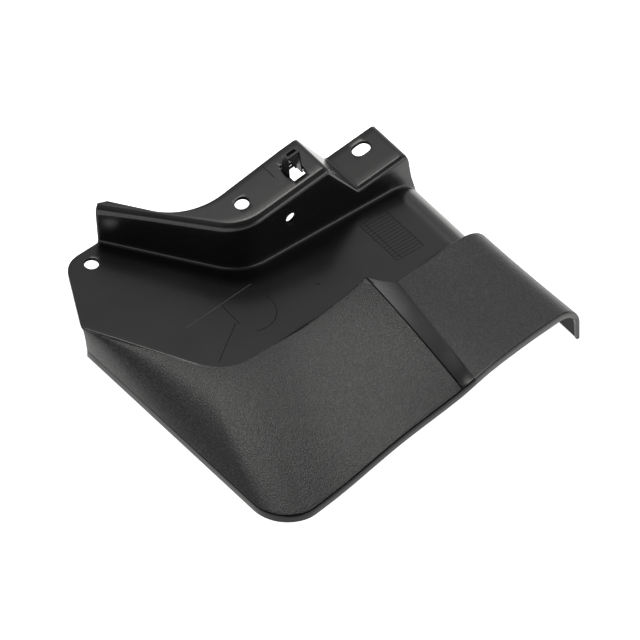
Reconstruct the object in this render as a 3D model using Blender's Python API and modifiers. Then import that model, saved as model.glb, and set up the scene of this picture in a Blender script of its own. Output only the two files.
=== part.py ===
"""Mud flap: one injection-moulded flap with a snap-in clip standing in its shelf.

The flap's front face is one grid of points.  Its columns run across the flap from the
left end to the right, and its rows run from the back edge of the shelf over the fold,
down the upright wall, across the plate, over the step and along the skin to the hem.
All sizes are in millimetres and are scaled to metres when a mesh is made.  The sizes
are given in a frame whose origin is the foot of the wall below the right end of the
shelf, on the face of the plate; the finished flap is moved so that it stands on z = 0
with the middle of its box over the origin.
"""

import math

import bmesh
import bpy
from mathutils import Matrix, Vector

NAME = "mud_flap"
MM = 0.001

# Sheet and fits
SHEET = 2.2                 # thickness of the moulding
CUTTER_REACH = 14.0         # how far a cutter runs past what it cuts
GAP = 0.3                   # clearance between touching pieces
LEFT_FOLD_RADIUS = 4.6      # outer radius where the wall turns into the shelf, left leg
FOLD_RADIUS = 6.2           # the same along the straight wall, the riser and the tab
FOOT_RADIUS = 1.6           # fillet where the wall meets the plate
DRAFT = 0.008               # lean of the wall, back per unit of height
LEAST_WALL = 0.6            # straight part of the wall's section before it is squashed
LEFT_RAKE = 1.8             # lean of the wall's left end, outwards at the shelf

# Wall and shelf
WALL_LEFT = (-118.0, 75.0)  # left end of the foot of the wall
WALL_CORNER = (-65.4, 0.0)  # where its two straight runs would meet
WALL_BEND = 32.0            # radius of the bend between them
SHELF_HEIGHT = 47.7         # shelf above the plate at its right end
SHELF_SLOPE = 0.175         # fall of the shelf towards the left end
SHELF_LEFT = (-109.8, 76.3)
SHELF_CORNER = (-82.4, 30.2)
SHELF_BEND = 42.0
SHELF_DEPTH = 33.0          # back edge behind the wall

# Riser, tab and the side that falls to the roll
RISER_FOOT = (22.4, 16.2)   # x and height where the riser meets the tab
TAB_END = (60.6, 22.5)
SIDE_WAIST = (62.7, 4.0)
RISER_RADIUS = 3.5
TAB_ROOT_RADIUS = 3.0
TAB_END_RADIUS = 4.0
WAIST_RADIUS = 50.0

# Plate
PLATE_CORNER = (-143.9, 73.2)
PLATE_CORNER_RADIUS = 18.0
ROLL_START = 46.0           # x where the plate starts to roll down
ROLL_RADIUS = 23.0          # the roll is a quarter turn that ends on the ground
MERGE_X = 67.0              # x where the side of the tab meets the roll

# Step between the plate and the skin
STEP_LEFT = (-170.0, 24.0)
STEP_CORNER = (-124.5, -58.5)
STEP_BEND = 32.0
APEX = (-17.0, -56.4)       # top of the crease
APEX_HEIGHT = 13.2
FACET_FOOT = (3.6, -62.0)   # where the facet runs out at the plate
STEP_RIGHT_Y = -57.5
STEP_RUN = 1.0              # lean of the step, in plan
LEFT_DROP = 1.2             # skin below the plate at the left end
RISE_START_X = -88.0        # where the skin starts to climb to the top of the crease
FACET_START_X = -12.0       # columns of the plate that run to the crease and the valley
FACET_END_X = -8.0
SIDE_START = 40.0           # along the plate, where the skin's columns start to spread
PROUD_START_X = 18.0        # where the skin starts to stand above the plate

# Skin and hem
HEM_LEFT = (-168.4, 20.4)
HEM_CORNER = (-167.4, -169.6)
HEM_CORNER_RADIUS = 26.0
HEM_SLOPE = 0.084           # the front hem runs back towards the right
CREASE_END_X = -17.0
VALLEY_END_X = -12.0
SKIN_ROLL_START = 57.0
SKIN_ROLL_RADIUS = 18.0
ROLLED_END_X = SKIN_ROLL_START + SKIN_ROLL_RADIUS
SKIN_PROUD = 2.0            # skin above the plate at the start of its roll
RIM = 5.0                   # height of the hem's rim
RIM_END = 2.6               # the same where the roll meets the ground
CROWN = 1.35                # power of the skin's crowned profile
HEM_HEIGHTS = ((-145.0, -23.0), (-118.0, -20.0), (-72.0, -11.4), (-23.0, -6.0),
               (2.4, -0.6), (32.0, 2.2), (58.0, 3.0))

# Holes
HOLE = 9.0
WALL_HOLE = 7.0
PLATE_HOLE_AT = (-132.5, 62.6)
SHELF_HOLE_AT = (-52.9, 17.6)
WALL_HOLE_AT = (-29.0, 24.5)
SLOT_AT = (43.0, 24.0)
SLOT_LENGTH = 12.0
SLOT_WIDTH = 9.0

# Clip
CLIP_X = -15.4
CLIP_BACK = 20.6
CLIP_FRONT_FOOT = 12.6
CLIP_FRONT_TOP = 15.2
CLIP_FOOT_WIDTH = 10.6
CLIP_TOP_WIDTH = 9.2
CLIP_HEIGHT = 13.0
CLIP_WALL = 0.9
CLIP_FLANGE = 1.4           # flanges and heel stand out this far from the hood
FLANGE_INSET = 0.5          # flanges stop this far inside the hood's ends
HEEL_WIDTH = 4.4
CLIP_SLOT = (5.3, 2.0)
WINDOW_FRONT = 8.4
WINDOW_FRONT_WIDTH = 9.6
RELIEF = 1.8                # round reliefs behind the window
RELIEF_SPACING = 7.6
FINGER_ROOT_WIDTH = 4.0
FINGER_TIP_WIDTH = 2.2
FINGER_THICKNESS = 1.1
FINGER_TIP_HEIGHT = 3.5
FINGER_LEAN = 2.8
FINGER_EDGE = 0.25          # radius of its edges

# Columns of the grid in each stretch, and its rows in each band
FOOT_STEPS, BACK_STEPS = (10, 5, 5), (4, 8, 8)
STEP_STEPS, HEM_STEPS = (6, 6, 8), (6, 6, 8)
FACET_STEPS, ROLL_STEPS = 2, 4
OUTLINE_STEPS = (2, 3, 5)   # adds up to PLATE_ROWS
CAP_RUNS, CAP_ARCS = (1, 3, 5, 3, 2), (3, 3, 4, 2)
CAP_ROWS, FOLD_ROWS, FOOT_ROWS, PLATE_ROWS, SKIN_ROWS = 3, 3, 2, 10, 9


def blend(low, high, share):
    """Number or vector at a share of the way from low to high."""
    return low + (high - low) * share


def ease(share):
    """Smooth step from 0 to 1, flat at both ends."""
    share = min(1.0, max(0.0, share))
    return share * share * (3.0 - 2.0 * share)


def rounded_line(points, radii, straight_steps, arc_steps):
    """Points along a polyline whose inner corners are rounded."""
    corners = [Vector(point) for point in points]
    line = [corners[0]]
    for index, radius in enumerate(radii):
        corner = corners[index + 1]
        into = (corner - corners[index]).normalized()
        out = (corners[index + 2] - corner).normalized()
        turn = math.atan2(into.x * out.y - into.y * out.x, into.dot(out))
        reach = radius * math.tan(abs(turn) / 2)
        side = math.copysign(radius, turn)
        first = corner - into * reach
        centre = first + Vector((-into.y, into.x)) * side
        line += run(line[-1], first, straight_steps[index])
        for step in range(1, arc_steps[index] + 1):
            spin = Matrix.Rotation(turn * step / arc_steps[index], 2)
            line.append(centre + spin @ (first - centre))
    return line + run(line[-1], corners[-1], straight_steps[-1])


def bent_line(start, corner, end, radius, steps):
    """Straight run, round bend and straight run, with the steps in each."""
    return rounded_line([start, corner, end], [radius], [steps[0], steps[2]], [steps[1]])


def run(start, end, steps):
    """Even steps from start, which is left out, to end."""
    return [blend(start, end, step / steps) for step in range(1, steps + 1)]


def curve_height(keys, x):
    """Height at x on a smooth curve through keys, level beyond its ends."""
    if x <= keys[0][0]:
        return keys[0][1]
    for index in range(len(keys) - 1):
        (x1, z1), (x2, z2) = keys[index], keys[index + 1]
        if x <= x2:
            x0, z0 = keys[max(index - 1, 0)]
            x3, z3 = keys[min(index + 2, len(keys) - 1)]
            span = x2 - x1
            slope1 = (z2 - z0) / (x2 - x0) * span
            slope2 = (z3 - z1) / (x3 - x1) * span
            t = (x - x1) / span
            return (z1 * (1 + 2 * t) * (1 - t) ** 2 + slope1 * t * (1 - t) ** 2
                    + z2 * t * t * (3 - 2 * t) - slope2 * t * t * (1 - t))
    return keys[-1][1]


def shelf_height(x):
    return SHELF_HEIGHT + SHELF_SLOPE * x


def rolled(share, start, radius, top):
    """Point and outward normal on a level sheet that rolls down to the ground."""
    arc = math.pi / 2 * radius
    length = share * (arc + top + ROLL_RADIUS - radius)
    angle = min(length, arc) / radius
    fall = max(length - arc, 0.0)
    normal = Vector((math.sin(angle), 0, math.cos(angle)))
    return start + radius * normal.x, top - radius * (1 - normal.z) - fall, normal


def plate_point(along, y):
    """Point of the plate at a distance along its level part and its roll."""
    if along <= ROLL_START:
        return Vector((along, y, 0))
    share = (along - ROLL_START) / (math.pi / 2 * ROLL_RADIUS)
    x, z, _normal = rolled(share, ROLL_START, ROLL_RADIUS, 0.0)
    return Vector((x, y, z))


def along_plate(x):
    """Distance along the plate of the point that lies at x."""
    if x <= ROLL_START:
        return x
    return ROLL_START + ROLL_RADIUS * math.asin(min(1.0, (x - ROLL_START) / ROLL_RADIUS))


def left_columns():
    """Columns from the left end to the start of the facet: foot, back edge, step, hem."""
    front = (CREASE_END_X, HEM_CORNER[1] + HEM_SLOPE * (CREASE_END_X - HEM_CORNER[0]))
    foot = bent_line(WALL_LEFT, WALL_CORNER, (FACET_START_X, 0.0), WALL_BEND, FOOT_STEPS)
    back = bent_line(SHELF_LEFT, SHELF_CORNER, (FACET_START_X, SHELF_DEPTH), SHELF_BEND, BACK_STEPS)
    step = bent_line(STEP_LEFT, STEP_CORNER, APEX, STEP_BEND, STEP_STEPS)
    hem = bent_line(HEM_LEFT, HEM_CORNER, front, HEM_CORNER_RADIUS, HEM_STEPS)
    return foot, back, step, hem


def cap_profile(start_x):
    """Shelf end, riser, tab and falling side, as x and height."""
    corners = [(start_x, shelf_height(start_x)), (0.0, SHELF_HEIGHT), RISER_FOOT, TAB_END,
               SIDE_WAIST, (MERGE_X, plate_point(along_plate(MERGE_X), 0).z)]
    radii = [RISER_RADIUS, TAB_ROOT_RADIUS, TAB_END_RADIUS, WAIST_RADIUS]
    return rounded_line(corners, radii, CAP_RUNS, CAP_ARCS)


def wall_rows(foot, foot_z, top_at, normal, radius, lean):
    """Rows over the fold, down the wall and round its foot, at one column.

    lean is the shift in plan of the top of the wall from its foot.  Where the wall is
    lower than its two rounds it is squashed, down to nothing where it meets the roll.
    """
    height = top_at(foot.x) - foot_z
    least = radius + FOOT_RADIUS + LEAST_WALL
    full = max(height, least)
    squash = min(1.0, max(0.0, height) / least)
    section = []
    for row in range(FOLD_ROWS + 1):
        angle = math.pi / 2 * row / FOLD_ROWS
        back = DRAFT * full + radius * (1 - math.sin(angle))
        section.append((back, full - radius * (1 - math.cos(angle))))
    section.append((DRAFT * full / 2, (full - radius + FOOT_RADIUS) / 2))
    for row in range(FOOT_ROWS + 1):
        angle = math.pi / 2 * row / FOOT_ROWS
        section.append((-FOOT_RADIUS * (1 - math.cos(angle)),
                        FOOT_RADIUS * (1 - math.sin(angle))))
    rows = []
    for index, (back, up) in enumerate(section):
        spread = blend(radius, -FOOT_RADIUS, index / (len(section) - 1))
        back = blend(spread, back, squash)
        share = up / full
        flat = foot - normal * back + lean * share
        z = foot_z + up * squash
        if share > 0.5:
            z = top_at(flat.x) - (full - up) * squash
        rows.append(Vector((flat.x, flat.y, z)))
    return rows


def plate_rows(start, end, left, weight):
    """Points across the plate, drawn towards its left outline near that end."""
    rows = []
    for row in range(1, PLATE_ROWS + 1):
        share = row / PLATE_ROWS
        pull = left[row] - blend(left[0], left[-1], share)
        flat = blend(start, end, share) + pull * weight
        rows.append(plate_point(flat.x, flat.y))
    return rows


def skin_rows(inner, outer, low, high, shape, rolling):
    """Points along the skin and over the rim of the hem, at one column."""
    rows = []
    normal = Vector((0, 0, 1))
    for row in range(SKIN_ROWS + 1):
        share = row / SKIN_ROWS
        flat = blend(inner, outer, share)
        z = blend(low, high, blend(ease(share), share ** CROWN, shape))
        x = flat.x
        if rolling > 0:
            x, z, normal = rolled(rolling, SKIN_ROLL_START, SKIN_ROLL_RADIUS, z)
        rows.append(Vector((x, flat.y, z)))
    rows.append(rows[-1] - normal * blend(RIM, RIM_END, rolling))
    return rows


def face_points():
    """Grid of points of the flap's front face, column by column."""
    foot, back, step, hem = left_columns()
    left_count = len(foot)
    outline = bent_line(WALL_LEFT, PLATE_CORNER, STEP_LEFT, PLATE_CORNER_RADIUS,
                        OUTLINE_STEPS)
    columns = []
    for index in range(left_count):
        after = foot[min(index + 1, left_count - 1)]
        before = foot[max(index - 1, 0)]
        tangent = (after - before).normalized()
        normal = Vector((tangent.y, -tangent.x))
        radius = blend(LEFT_FOLD_RADIUS, FOLD_RADIUS,
                       ease((index - FOOT_STEPS[0]) / FOOT_STEPS[1]))
        rake = -tangent * LEFT_RAKE * max(0.0, 1 - index / 2)
        wall = wall_rows(foot[index], 0.0, shelf_height, normal, radius, rake)
        weight = max(0.0, 1.0 - index / (STEP_STEPS[0] + STEP_STEPS[1]))
        start = wall[-1].xy
        plate = plate_rows(start, step[index], outline, weight)
        inner = step[index] + (hem[index] - step[index]).normalized() * STEP_RUN
        rise = max(0.0, (step[index].x - RISE_START_X) / (APEX[0] - RISE_START_X))
        low = APEX_HEIGHT * rise ** 2
        low -= LEFT_DROP * weight
        high = curve_height(HEM_HEIGHTS, hem[index].x) + RIM
        shape = ease((index - HEM_STEPS[0]) / HEM_STEPS[1])
        skin = skin_rows(inner, hem[index], low, high, shape, 0.0)
        columns.append(cap_rows(back[index], wall[0], shelf_height) + wall + plate + skin)
    return columns + right_columns(foot[-1].x, columns)


def cap_rows(back, front, height_at):
    """Points from the back edge to the fold, which is left out."""
    rows = []
    for row in range(CAP_ROWS):
        flat = blend(Vector(back), front.xy, row / CAP_ROWS)
        rows.append(Vector((flat.x, flat.y, height_at(flat.x))))
    return rows


def skin_along(along):
    """Distance along the skin beside a distance along the plate."""
    plate_length = ROLL_START + math.pi / 2 * ROLL_RADIUS
    extra = skin_length() - plate_length
    return along + extra * ease((along - SIDE_START) / (plate_length - SIDE_START))


def skin_length():
    arc = math.pi / 2 * SKIN_ROLL_RADIUS
    return SKIN_ROLL_START + arc + SKIN_PROUD + ROLL_RADIUS - SKIN_ROLL_RADIUS


def right_columns(start_x, columns):
    """Columns from the crease to the right edge: facet, riser, tab, side and roll."""
    profile = [Vector((x, shelf_height(x)))
               for x in (blend(start_x, FACET_END_X, step / FACET_STEPS)
                         for step in range(1, FACET_STEPS))]
    profile += cap_profile(FACET_END_X)
    spread_from = FACET_STEPS - 1 + sum(CAP_RUNS[:3]) + sum(CAP_ARCS[:2])
    merge = len(profile) - 1
    feet = []
    for index, point in enumerate(profile):
        share = max(0.0, (index - spread_from) / (merge - spread_from))
        feet.append(point.x if share == 0 else
                    blend(profile[spread_from].x, MERGE_X, share))
    merged = along_plate(MERGE_X)
    plate_end = ROLL_START + math.pi / 2 * ROLL_RADIUS
    alongs = [along_plate(x) for x in feet]
    for step in range(1, ROLL_STEPS + 1):
        alongs.append(blend(merged, plate_end, step / ROLL_STEPS))
        profile.append(None)
    result = []
    front_y = HEM_CORNER[1] - HEM_SLOPE * HEM_CORNER[0]
    for index, along in enumerate(alongs):
        foot = plate_point(along, 0.0)
        top = profile[index]
        height = foot.z if top is None else top.y
        top_x = foot.x if top is None else top.x
        lean = Vector((top_x - foot.x, 0))
        wall = wall_rows(foot.xy, foot.z, lambda _x, z=height: z, Vector((0, -1)),
                         FOLD_RADIUS, lean)
        cap = cap_rows((top_x, SHELF_DEPTH), wall[0], lambda _x, z=height: z)
        across = min(1.0, (index + 1) / FACET_STEPS)
        if along < FACET_END_X or across < 1:
            step = blend(Vector(APEX), Vector(FACET_FOOT), across)
            low = blend(APEX_HEIGHT, 0.0, across)
            end_x = blend(CREASE_END_X, VALLEY_END_X, across)
            rolling, beside = 0.0, step.x
        else:
            share = min(1.0, (along - FACET_END_X) / (ROLL_START - FACET_END_X))
            step_x = blend(FACET_FOOT[0], ROLL_START, share) + max(0.0, along - ROLL_START)
            step = Vector((step_x, blend(FACET_FOOT[1], STEP_RIGHT_Y, share)))
            beside = skin_along(step_x)
            low = SKIN_PROUD * ease((beside - PROUD_START_X)
                                    / (SKIN_ROLL_START - PROUD_START_X))
            flat_share = (beside - FACET_FOOT[0]) / (SKIN_ROLL_START - FACET_FOOT[0])
            end_x = beside - max(0.0, 1 - flat_share) * (FACET_FOOT[0] - VALLEY_END_X)
            rolling = max(0.0, (beside - SKIN_ROLL_START) / (skin_length() - SKIN_ROLL_START))
        start = Vector((along, wall[-1].y))
        plate = plate_rows(start, step, [Vector((0, 0))] * (PLATE_ROWS + 1), 0.0)
        inner = Vector((beside, step.y - STEP_RUN))
        outer = Vector((end_x, front_y + HEM_SLOPE * min(end_x, ROLLED_END_X)))
        high = curve_height(HEM_HEIGHTS, end_x) + RIM
        skin = skin_rows(inner, outer, low, high, 1.0, rolling)
        result.append(cap + wall + plate + skin)
    return result


def placement(objects):
    """Shift that stands the flap on z = 0 with the middle of its box over the origin."""
    bpy.context.view_layer.update()
    depsgraph = bpy.context.evaluated_depsgraph_get()
    points = []
    for obj in objects:
        finished = obj.evaluated_get(depsgraph)
        points += [finished.matrix_world @ Vector(corner) for corner in finished.bound_box]
    low = [min(point[axis] for point in points) for axis in range(3)]
    high = [max(point[axis] for point in points) for axis in range(3)]
    return Vector((-(low[0] + high[0]) / 2, -(low[1] + high[1]) / 2, -low[2]))


def new_object(name, bm, collection):
    mesh = bpy.data.meshes.new(name)
    bm.to_mesh(mesh)
    bm.free()
    obj = bpy.data.objects.new(name, mesh)
    collection.objects.link(obj)
    return obj


def plastic(name, colour, roughness):
    material = bpy.data.materials.new(name)
    material.use_nodes = True
    shader = material.node_tree.nodes["Principled BSDF"]
    shader.inputs["Base Color"].default_value = (*colour, 1.0)
    shader.inputs["Roughness"].default_value = roughness
    shader.inputs["Metallic"].default_value = 0.0
    return material


def box(name, low, high, collection):
    """Axis-aligned box between two corners."""
    bm = bmesh.new()
    bmesh.ops.create_cube(bm, size=1.0)
    for vert in bm.verts:
        for axis in range(3):
            vert.co[axis] = blend(low[axis], high[axis], vert.co[axis] + 0.5)
    bmesh.ops.scale(bm, vec=(MM, MM, MM), verts=bm.verts)
    return new_object(name, bm, collection)


def rod(name, radius, length, matrix, collection):
    """Round cutter of a given length along its own z."""
    bm = bmesh.new()
    bmesh.ops.create_cone(bm, cap_ends=True, segments=24, radius1=radius * MM,
                          radius2=radius * MM, depth=length * MM, matrix=matrix)
    return new_object(name, bm, collection)


def at(x, y, z):
    return Matrix.Translation(Vector((x, y, z)) * MM)


def cut(obj, cutter, operation="DIFFERENCE"):
    cutter.hide_render = True
    cutter.display_type = "WIRE"
    modifier = obj.modifiers.new(cutter.name, "BOOLEAN")
    modifier.operation = operation
    modifier.solver = "EXACT"
    modifier.object = cutter


def window_boxes():
    """Corners of the two boxes that make the clip's window, in plan."""
    half = CLIP_FOOT_WIDTH / 2 + GAP
    front_half = WINDOW_FRONT_WIDTH / 2
    return (((CLIP_X - front_half, WINDOW_FRONT), (CLIP_X + front_half, CLIP_FRONT_FOOT)),
            ((CLIP_X - half, CLIP_FRONT_FOOT - GAP), (CLIP_X + half, CLIP_BACK + GAP)))


def build_moulding(parts, cutters, columns):
    bm = bmesh.new()
    grid = [[bm.verts.new(point * MM) for point in column] for column in columns]
    for near, far in zip(grid, grid[1:]):
        for row in range(len(near) - 1):
            bm.faces.new((near[row], near[row + 1], far[row + 1], far[row]))
    moulding = new_object("flap_moulding", bm, parts)
    shell = moulding.modifiers.new("sheet", "SOLIDIFY")
    shell.thickness = SHEET * MM
    shell.offset = -1
    shell.use_even_offset = True
    shell.use_quality_normals = True
    deep = CUTTER_REACH
    shelf_hole_z = shelf_height(SHELF_HOLE_AT[0])
    cut(moulding, rod("plate_hole", HOLE / 2, deep, at(*PLATE_HOLE_AT, 0), cutters))
    cut(moulding, rod("shelf_hole", HOLE / 2, deep, at(*SHELF_HOLE_AT, shelf_hole_z), cutters))
    turned = at(WALL_HOLE_AT[0], 0, WALL_HOLE_AT[1]) @ Matrix.Rotation(math.pi / 2, 4, "X")
    cut(moulding, rod("wall_hole", WALL_HOLE / 2, deep, turned, cutters))
    slot_z = RISER_FOOT[1]
    half = (SLOT_LENGTH - SLOT_WIDTH) / 2
    for name, x in (("slot_left", -half), ("slot_right", half)):
        place = at(SLOT_AT[0] + x, SLOT_AT[1], slot_z)
        cut(moulding, rod(name, SLOT_WIDTH / 2, deep, place, cutters))
    cut(moulding, box("slot_middle", (SLOT_AT[0] - half, SLOT_AT[1] - SLOT_WIDTH / 2, 0),
                      (SLOT_AT[0] + half, SLOT_AT[1] + SLOT_WIDTH / 2, 2 * slot_z), cutters))
    window_z = shelf_height(CLIP_X)
    for index, (low, high) in enumerate(window_boxes()):
        cut(moulding, box(f"window_{index}", (*low, window_z - deep),
                          (*high, window_z + deep), cutters))
    for index, side in enumerate((-1, 1)):
        place = at(CLIP_X + side * RELIEF_SPACING / 2, CLIP_BACK + GAP + RELIEF, window_z)
        cut(moulding, rod(f"relief_{index}", RELIEF / 2, deep, place, cutters))
    moulding.data.materials.append(plastic("black_polypropylene", (0.018, 0.018, 0.019), 0.45))
    return moulding


def frustum(name, foot, top, collection):
    """Block between two level rectangles, each (x0, x1, y0, y1, z), sheared to the shelf."""
    bm = bmesh.new()
    bmesh.ops.create_cube(bm, size=1.0)
    for vert in bm.verts:
        x0, x1, y0, y1, z = top if vert.co.z > 0 else foot
        x = x1 if vert.co.x > 0 else x0
        y = y1 if vert.co.y > 0 else y0
        vert.co = Vector((x, y, shelf_height(x) + z)) * MM
    return new_object(name, bm, collection)


def build_cage(parts, cutters):
    """Hood with two cheeks, a slotted top and flanges under the shelf."""
    shelf_under = -(SHEET + GAP)
    flange_under = shelf_under - CLIP_WALL
    bottom = flange_under - FLANGE_INSET
    foot_half, top_half = CLIP_FOOT_WIDTH / 2, CLIP_TOP_WIDTH / 2
    foot = (CLIP_X - foot_half, CLIP_X + foot_half, CLIP_FRONT_FOOT, CLIP_BACK, bottom)
    top = (CLIP_X - top_half, CLIP_X + top_half, CLIP_FRONT_TOP, CLIP_BACK, CLIP_HEIGHT)
    cage = frustum("clip_cage", foot, top, parts)
    inner_foot = (foot[0] + CLIP_WALL, foot[1] - CLIP_WALL, CLIP_FRONT_FOOT - CUTTER_REACH,
                  CLIP_BACK - CLIP_WALL, bottom - CLIP_WALL)
    inner_top = (top[0] + CLIP_WALL, top[1] - CLIP_WALL, CLIP_FRONT_TOP - CUTTER_REACH,
                 CLIP_BACK - CLIP_WALL, CLIP_HEIGHT - CLIP_WALL)
    cut(cage, frustum("cage_inside", inner_foot, inner_top, cutters))
    length, width = CLIP_SLOT
    middle = (CLIP_FRONT_TOP + CLIP_BACK) / 2
    slot = (CLIP_X - length / 2, CLIP_X + length / 2, middle - width / 2, middle + width / 2)
    deep = 3 * CLIP_WALL
    cut(cage, frustum("cage_slot", (*slot, CLIP_HEIGHT - deep), (*slot, CLIP_HEIGHT + deep),
                      cutters))
    for name, side in (("flange_left", -1), ("flange_right", 1)):
        near = CLIP_X + side * (foot_half - CLIP_WALL / 2)
        far = CLIP_X + side * (foot_half + CLIP_FLANGE)
        x0, x1 = min(near, far), max(near, far)
        plan = (x0, x1, CLIP_FRONT_FOOT + 3 * FLANGE_INSET, CLIP_BACK - FLANGE_INSET)
        cut(cage, frustum(name, (*plan, flange_under), (*plan, shelf_under), cutters), "UNION")
    heel = (CLIP_X - HEEL_WIDTH / 2, CLIP_X + HEEL_WIDTH / 2, CLIP_BACK - CLIP_WALL / 2,
            CLIP_BACK + CLIP_FLANGE)
    cut(cage, frustum("heel", (*heel, GAP), (*heel, GAP + CLIP_WALL), cutters), "UNION")
    cage.data.materials.append(plastic("clip_plastic", (0.03, 0.03, 0.032), 0.4))
    return cage


def finger_axis():
    """Middle of the finger's root, where it bends."""
    root_z = CLIP_HEIGHT - CLIP_WALL - GAP - FINGER_THICKNESS / 2
    return Vector((CLIP_X, CLIP_FRONT_TOP + FINGER_THICKNESS / 2,
                   shelf_height(CLIP_X) + root_z))


def build_finger(parts):
    """Tapered tongue that hangs from the front of the hood over the window."""
    axis = finger_axis()
    bm = bmesh.new()
    bmesh.ops.create_cube(bm, size=1.0)
    root_up = FINGER_THICKNESS / 2
    drop = axis.z - shelf_height(CLIP_X) - FINGER_TIP_HEIGHT
    for vert in bm.verts:
        upper = vert.co.z > 0
        half = (FINGER_ROOT_WIDTH if upper else FINGER_TIP_WIDTH) / 2
        x = math.copysign(half, vert.co.x)
        y = math.copysign(FINGER_THICKNESS / 2, vert.co.y) - (0 if upper else FINGER_LEAN)
        z = root_up if upper else -drop
        vert.co = Vector((x, y, z + (SHELF_SLOPE * x if upper else 0))) * MM
    finger = new_object("clip_finger", bm, parts)
    finger.location = axis * MM
    bevel = finger.modifiers.new("rounded_edges", "BEVEL")
    bevel.width = FINGER_EDGE * MM
    bevel.segments = 2
    finger.data.materials.append(plastic("finger_plastic", (0.05, 0.05, 0.053), 0.4))
    return finger


def clear_scene():
    for obj in list(bpy.data.objects):
        bpy.data.objects.remove(obj, do_unlink=True)


def main():
    clear_scene()
    parts = bpy.data.collections.new(NAME)
    cutters = bpy.data.collections.new("cutters")
    for collection in (parts, cutters):
        bpy.context.scene.collection.children.link(collection)
    build_moulding(parts, cutters, face_points())
    build_cage(parts, cutters)
    build_finger(parts)
    shift = placement(parts.objects)
    for obj in list(parts.objects) + list(cutters.objects):
        obj.location += shift


main()
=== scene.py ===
"""Looks of the mud flap: a finer moulding, its clip, small moulded details and a studio.

The moulding repeats the CAD part's grid of rows and columns with more of both, as a
sheet with two faces and rounded edges.  Sizes are in millimetres in the CAD script's
own frame, whose origin is the foot of the wall below the right end of the shelf, and
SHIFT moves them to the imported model's place.  Lights and camera are in metres.
"""

import math

import bmesh
import bpy
import numpy as np
from mathutils import Matrix, Vector


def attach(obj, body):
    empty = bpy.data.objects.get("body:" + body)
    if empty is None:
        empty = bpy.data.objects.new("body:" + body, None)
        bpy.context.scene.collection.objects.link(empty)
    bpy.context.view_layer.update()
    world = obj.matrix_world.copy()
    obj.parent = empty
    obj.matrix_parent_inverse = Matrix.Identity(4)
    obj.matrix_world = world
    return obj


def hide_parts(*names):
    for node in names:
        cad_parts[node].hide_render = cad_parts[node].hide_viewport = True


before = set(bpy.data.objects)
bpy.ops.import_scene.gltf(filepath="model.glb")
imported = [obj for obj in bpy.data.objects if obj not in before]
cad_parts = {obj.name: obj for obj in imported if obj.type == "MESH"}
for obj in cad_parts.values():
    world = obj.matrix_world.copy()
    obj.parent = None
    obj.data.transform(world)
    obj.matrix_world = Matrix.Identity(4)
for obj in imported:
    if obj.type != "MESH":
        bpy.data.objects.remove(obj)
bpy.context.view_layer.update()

MM = 0.001
SHIFT = Vector((47.5, 43.924, 23.1155))

# Radii of the fold at the left end, over the shelf and over the tab, and of the wall's foot
LEFT_FOLD_RADIUS, FOLD_RADIUS, TAB_FOLD_RADIUS, FOOT_RADIUS = 4.6, 4.8, 3.4, 1.6

# Sizes that the CAD script has, with the crease and the hem moved a little to suit the photo
SHEET = 2.2
GAP = 0.3
DRAFT, LEAST_WALL, LEFT_RAKE = 0.008, 0.6, 1.8
WALL_LEFT, WALL_CORNER, WALL_BEND = (-118.0, 75.0), (-65.4, 0.0), 32.0
SHELF_HEIGHT, SHELF_SLOPE, SHELF_DEPTH = 47.7, 0.175, 33.0
SHELF_LEFT, SHELF_CORNER, SHELF_BEND = (-109.8, 76.3), (-82.4, 30.2), 42.0
RISER_FOOT, TAB_END, SIDE_WAIST = (22.4, 16.2), (60.6, 22.5), (62.7, 4.0)
CAP_RADII = (3.5, 3.0, 4.0, 50.0)
PLATE_CORNER, PLATE_CORNER_RADIUS = (-143.9, 73.2), 18.0
ROLL_START, ROLL_RADIUS, MERGE_X = 46.0, 23.0, 67.0
STEP_LEFT, STEP_CORNER, STEP_BEND = (-170.0, 24.0), (-124.5, -58.5), 32.0
APEX, APEX_HEIGHT, FACET_FOOT = (-17.0, -56.4), 13.2, (3.6, -62.0)
STEP_RIGHT_Y, STEP_RUN, LEFT_DROP = -57.5, 1.0, 1.2
RISE_START_X, FACET_START_X, FACET_END_X = -88.0, -12.0, -8.0
SIDE_START, PROUD_START_X = 40.0, 18.0
FACET_HOLLOW = 1.15         # power that hollows the facet beside the crease
HEM_LEFT, HEM_CORNER, HEM_CORNER_RADIUS = (-168.4, 20.4), (-167.4, -169.6), 26.0
HEM_SLOPE, CREASE_END_X, VALLEY_END_X = 0.084, -20.5, -10.5
SKIN_ROLL_START, SKIN_ROLL_RADIUS, SKIN_PROUD = 57.0, 18.0, 2.0
ROLLED_END_X = SKIN_ROLL_START + SKIN_ROLL_RADIUS
RIM, RIM_END = 5.0, 2.6      # height of the hem's rim, and at its right end
CROWN, LEFT_CROWN = 1.5, 1.5    # power that bulges the skin, and at its left end
HEM_HEIGHTS = ((-145.0, -23.0), (-118.0, -20.0), (-72.0, -11.4), (-23.0, -6.0),
               (2.4, -0.6), (32.0, 2.2), (58.0, 3.0))

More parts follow.
